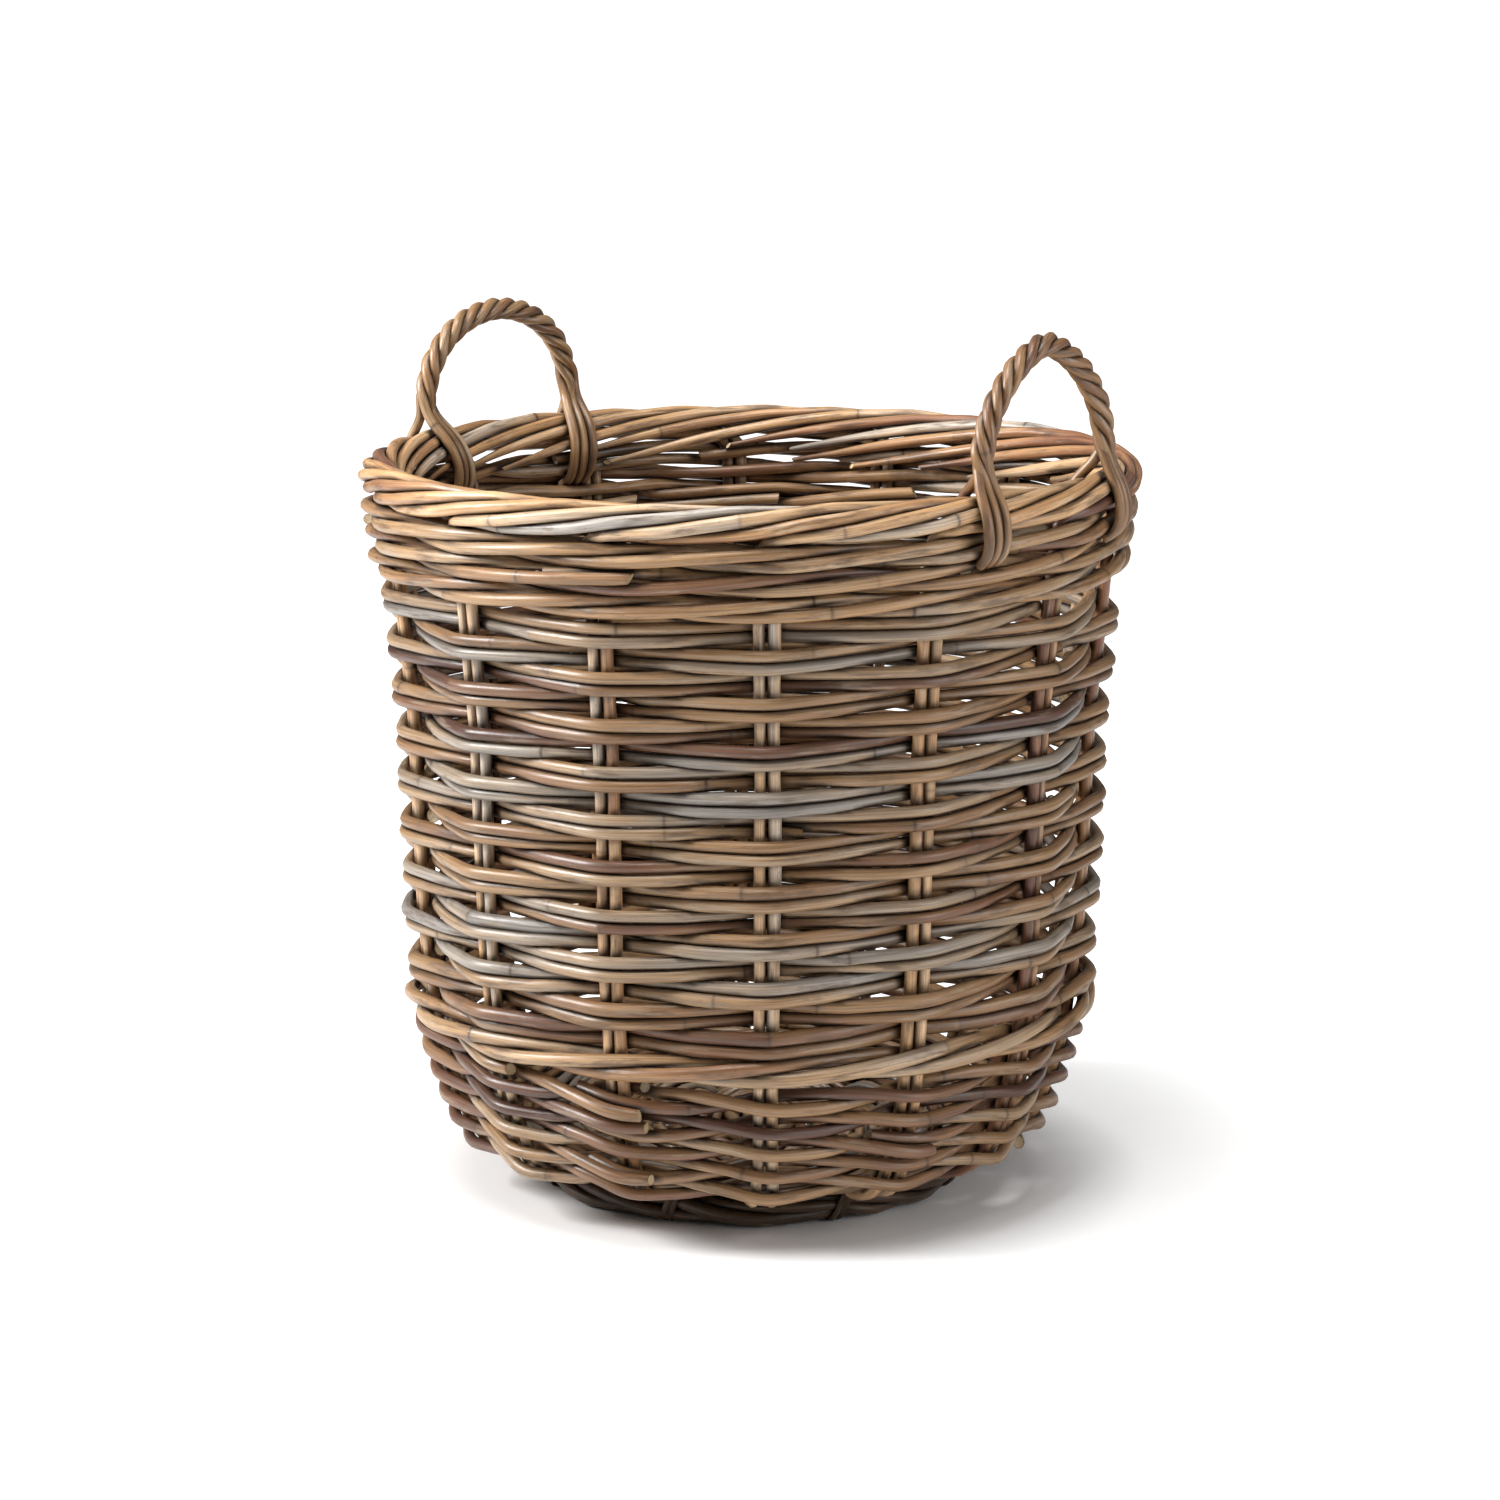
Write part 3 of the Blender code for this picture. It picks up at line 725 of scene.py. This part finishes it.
def rattan(slot, tones, shade=1.0, coat=0.25):
    """Natural rattan with its skin on: tones drift along a cane, with fibre streaks, stains and rings."""
    material = bpy.data.materials.new(slot)
    material.use_nodes = True
    tree = material.node_tree
    shader = tree.nodes["Principled BSDF"]

    def node(kind, inputs=(), **settings):
        made = tree.nodes.new("ShaderNode" + kind)
        for key, value in settings.items():
            setattr(made, key, value)
        for key, value in dict(inputs).items():
            if isinstance(value, bpy.types.NodeSocket):
                tree.links.new(value, made.inputs[key])
            else:
                made.inputs[key].default_value = value
        return made

    def attribute(name):
        return node("Attribute", attribute_name=name)

    spot = attribute("cane_co").outputs["Vector"]

    def noise(scale, detail=2.0, shift=0.0, rough=0.5):
        placed = node("VectorMath", {0: spot, 1: scale, 2: (shift, shift, shift)}, operation="MULTIPLY_ADD")
        inputs = {"Vector": placed.outputs[0], "Scale": 1.0, "Detail": detail, "Roughness": rough}
        return node("TexNoise", inputs).outputs["Fac"]

    def span(value, low, high, to_low=0.0, to_high=1.0):
        inputs = {0: value, 1: low, 2: high, 3: to_low, 4: to_high}
        return node("MapRange", inputs, interpolation_type="SMOOTHSTEP").outputs[0]

    def sums(operation, one, other):
        return node("Math", {0: one, 1: other}, operation=operation).outputs[0]

    def mix(share, one, other, blend="MIX"):
        made = node("Mix", {}, data_type="RGBA", blend_type=blend)
        for key, value in ((0, share), (6, one), (7, other)):
            if isinstance(value, bpy.types.NodeSocket):
                tree.links.new(value, made.inputs[key])
            else:
                made.inputs[key].default_value = value
        return made.outputs[2]

    drift = noise((70, 70, 7), 2.0)
    tone = sums("ADD", attribute("tone").outputs["Fac"], span(drift, 0.3, 0.7, -0.14, 0.14))
    ramp = node("ValToRGB", {"Fac": tone})
    ramp.color_ramp.interpolation = "LINEAR"
    elements = ramp.color_ramp.elements
    for index, (place, colour) in enumerate(tones):
        element = elements[index] if index < 2 else elements.new(place)
        element.position = place
        element.color = (*[channel * shade for channel in colour], 1.0)
    colour = ramp.outputs["Color"]
    streak = noise((900, 900, 16), 4.0, 3.1, 0.62)
    fibre = noise((2600, 2600, 45), 2.0, 7.7)
    grain = span(streak, 0.32, 0.68, 0.70, 1.20)
    colour = mix(1.0, colour, grain, "MULTIPLY")
    colour = mix(span(fibre, 0.52, 0.66, 0.0, 0.30), colour, (0.16, 0.095, 0.05, 1.0))
    weather = noise((150, 150, 26), 5.0, 11.3, 0.6)
    colour = mix(span(weather, 0.51, 0.68, 0.0, 0.72), colour, (0.105, 0.058, 0.030, 1.0))
    peel = noise((210, 210, 22), 4.0, 23.9, 0.62)
    colour = mix(span(peel, 0.57, 0.66, 0.0, 0.34), colour, (0.47 * shade, 0.37 * shade, 0.26 * shade, 1.0))
    speck = noise((700, 700, 420), 3.0, 31.7, 0.7)
    specks = span(speck, 0.66, 0.72, 0.0, 0.75)
    colour = mix(specks, colour, (0.05, 0.03, 0.02, 1.0))
    ring = attribute("ring").outputs["Fac"]
    colour = mix(sums("MULTIPLY", ring, 0.80), colour, (0.05, 0.028, 0.016, 1.0))
    # Painted shade where canes touch, with some dust and stain: the colour goes nearly black there.
    dust_and_shade = attribute("dust_and_shade").outputs["Fac"]
    colour = mix(sums("MULTIPLY", dust_and_shade, 0.94), colour, (0.012, 0.006, 0.003, 1.0))
    pith = attribute("pith").outputs["Fac"]
    pores = noise((2400, 2400, 2400), 1.0, 41.0)
    pale_pith = (0.62 * shade, 0.48 * shade, 0.29 * shade, 1.0)
    dark_pore = (0.30 * shade, 0.20 * shade, 0.10 * shade, 1.0)
    end_grain = mix(span(pores, 0.42, 0.6), pale_pith, dark_pore)
    colour = mix(pith, colour, end_grain)
    tree.links.new(colour, shader.inputs["Base Color"])
    gloss = sums("ADD", span(streak, 0.3, 0.7, 0.30, 0.46), sums("MULTIPLY", span(weather, 0.5, 0.7), 0.18))
    tree.links.new(gloss, shader.inputs["Roughness"])
    shader.inputs["Coat Weight"].default_value = coat
    shader.inputs["Specular IOR Level"].default_value = 0.3 + 0.8 * coat
    shader.inputs["Coat Roughness"].default_value = 0.22
    relief = sums("ADD", sums("MULTIPLY", streak, 0.8), sums("MULTIPLY", fibre, 0.35))
    relief = sums("SUBTRACT", relief, sums("MULTIPLY", specks, 0.25))
    relief = sums("ADD", relief, sums("MULTIPLY", weather, 0.5))
    bump = node("Bump", {"Strength": 0.55, "Distance": 0.0005, "Height": relief})
    tree.links.new(bump.outputs[0], shader.inputs["Normal"])
    return material


NATURAL = (
    (0.00, (0.300, 0.270, 0.240)),
    (0.13, (0.345, 0.285, 0.225)),
    (0.30, (0.415, 0.278, 0.162)),
    (0.50, (0.370, 0.215, 0.100)),
    (0.66, (0.290, 0.156, 0.071)),
    (0.84, (0.185, 0.082, 0.042)),
    (1.00, (0.095, 0.040, 0.025)),
)
DARK = (
    (0.00, (0.150, 0.096, 0.054)),
    (0.35, (0.115, 0.064, 0.031)),
    (0.70, (0.075, 0.040, 0.020)),
    (1.00, (0.042, 0.022, 0.012)),
)
materials = {
    "stake_cane": rattan("stake_cane", NATURAL, 1.80),
    "weaving_cane": rattan("weaving_cane", NATURAL, 0.96),
    "wale_cane": rattan("wale_cane", NATURAL, 1.20),
    "handle_cane": rattan("handle_cane", NATURAL, 1.12),
    "tie_cane": rattan("tie_cane", DARK, 0.52, 0.0),
    "foot_cane": rattan("foot_cane", DARK, 0.56, 0.08),
    "base_cane": rattan("base_cane", NATURAL, 0.8),
}


def light(name, angle, distance, height, size, power, target=(0, 0, 0.25)):
    """A soft square light at this angle round the basket, aimed at it."""
    data = bpy.data.lights.new(name, "AREA")
    data.shape = "RECTANGLE"
    data.size, data.size_y = size
    data.energy = power
    lamp = bpy.data.objects.new(name, data)
    bpy.context.scene.collection.objects.link(lamp)
    lamp.location = (distance * math.cos(angle), distance * math.sin(angle), height)
    lamp.rotation_euler = (Vector(target) - lamp.location).to_track_quat("-Z", "Y").to_euler()
    return lamp


# How brightly the floor glows, a painted light that is weakest near the basket and so leaves a painted
# shadow round it: distance from the middle of the basket, in metres, and level
PAINTED_FLOOR_GLOW = (
    (0.15, 0.0), (0.18, 0.03), (0.21, 0.18), (0.26, 0.51),
    (0.32, 0.56), (0.45, 0.67), (0.80, 0.92), (1.0, 1.05),
)


def studio():
    """A white floor and surround, a key light on the left, a weak fill, a light above, and the camera."""
    bpy.ops.mesh.primitive_plane_add(size=14, location=(0, 0, -0.0005))
    floor = bpy.context.object
    floor.name = "studio_floor"
    pale = bpy.data.materials.new("studio_floor")
    pale.use_nodes = True
    shader = pale.node_tree.nodes["Principled BSDF"]
    shader.inputs["Base Color"].default_value = (0.93, 0.93, 0.93, 1.0)
    shader.inputs["Roughness"].default_value = 0.7
    shader.inputs["Specular IOR Level"].default_value = 0.2
    # The studio floor glows for the camera only, a painted light, more so away from the basket, so that a
    # painted shadow lies round it, and fades to white.
    nodes, link = pale.node_tree.nodes, pale.node_tree.links.new
    seen = nodes.new("ShaderNodeLightPath").outputs["Is Camera Ray"]
    place = nodes.new("ShaderNodeTexCoord").outputs["Object"]
    flat = nodes.new("ShaderNodeVectorMath")
    flat.operation = "LENGTH"
    link(place, flat.inputs[0])
    ramp = nodes.new("ShaderNodeValToRGB")
    for index, (distance, level) in enumerate(PAINTED_FLOOR_GLOW):
        element = ramp.color_ramp.elements[index] if index < 2 else ramp.color_ramp.elements.new(distance)
        element.position = distance
        element.color = (level, level, level, 1.0)
    link(flat.outputs["Value"], ramp.inputs["Fac"])
    glow = nodes.new("ShaderNodeMath")
    glow.operation = "MULTIPLY"
    link(seen, glow.inputs[0])
    link(ramp.outputs["Color"], glow.inputs[1])
    link(glow.outputs[0], shader.inputs["Emission Strength"])
    shader.inputs["Emission Color"].default_value = (1.0, 1.0, 1.0, 1.0)
    floor.data.materials.append(pale)
    world = bpy.data.worlds.new("studio")
    bpy.context.scene.world = world
    world.use_nodes = True
    background = world.node_tree.nodes["Background"]
    background.inputs["Color"].default_value = (1.0, 1.0, 1.0, 1.0)
    seen = world.node_tree.nodes.new("ShaderNodeLightPath").outputs["Is Camera Ray"]
    strength = world.node_tree.nodes.new("ShaderNodeMapRange")
    strength.inputs["To Min"].default_value = 0.12
    world.node_tree.links.new(seen, strength.inputs["Value"])
    world.node_tree.links.new(strength.outputs[0], background.inputs["Strength"])
    facing = math.radians(-48.65)
    light("key", facing - math.radians(84), 2.1, 1.5, (0.8, 1.0), 80)
    light("fill", facing + math.radians(60), 2.4, 0.9, (1.6, 1.4), 25)
    light("top", facing - math.radians(30), 0.45, 2.3, (1.0, 1.0), 32)
    camera_data = bpy.data.cameras.new("camera")
    camera_data.lens = 104
    camera_data.sensor_width = 36
    camera = bpy.data.objects.new("camera", camera_data)
    bpy.context.scene.collection.objects.link(camera)
    target = Vector((0, 0, 0.277))
    rise = math.radians(11.6)
    back = Vector((math.cos(facing) * math.cos(rise), math.sin(facing) * math.cos(rise), math.sin(rise)))
    camera.location = target + back * 2.8
    camera.rotation_euler = (-back).to_track_quat("-Z", "Y").to_euler()
    bpy.context.scene.camera = camera
    bpy.context.scene.view_settings.view_transform = "Standard"


stakes()
pairing()
wale("low_wale", (LOW_WALE_LEVEL,), 1, 4, 0.0080, 0.0043, 16)
slew()
wale("high_wale", [WALE_TOP - 0.0410 + 0.0163 * turn for turn in range(3)], 3, 4, 0.0079, 0.0040, 24)
foot()
foot_ties()
base()
handle("right", HANDLE_OFFSET - math.radians(2.2), 0.0620, 0.0710, 1.38, 3,
       ((0.0030, -0.005), (0.0030, -0.005)), (0.70, 0.58, 0.74, 0.62))
handle("left", math.pi - HANDLE_OFFSET + math.radians(2.0), 0.0665, 0.0610, 1.0, 1,
       ((0.003, 0.003), (0.005, -0.010)), (0.50, 0.38, 0.54, 0.42))
press_apart(70)
build()
studio()
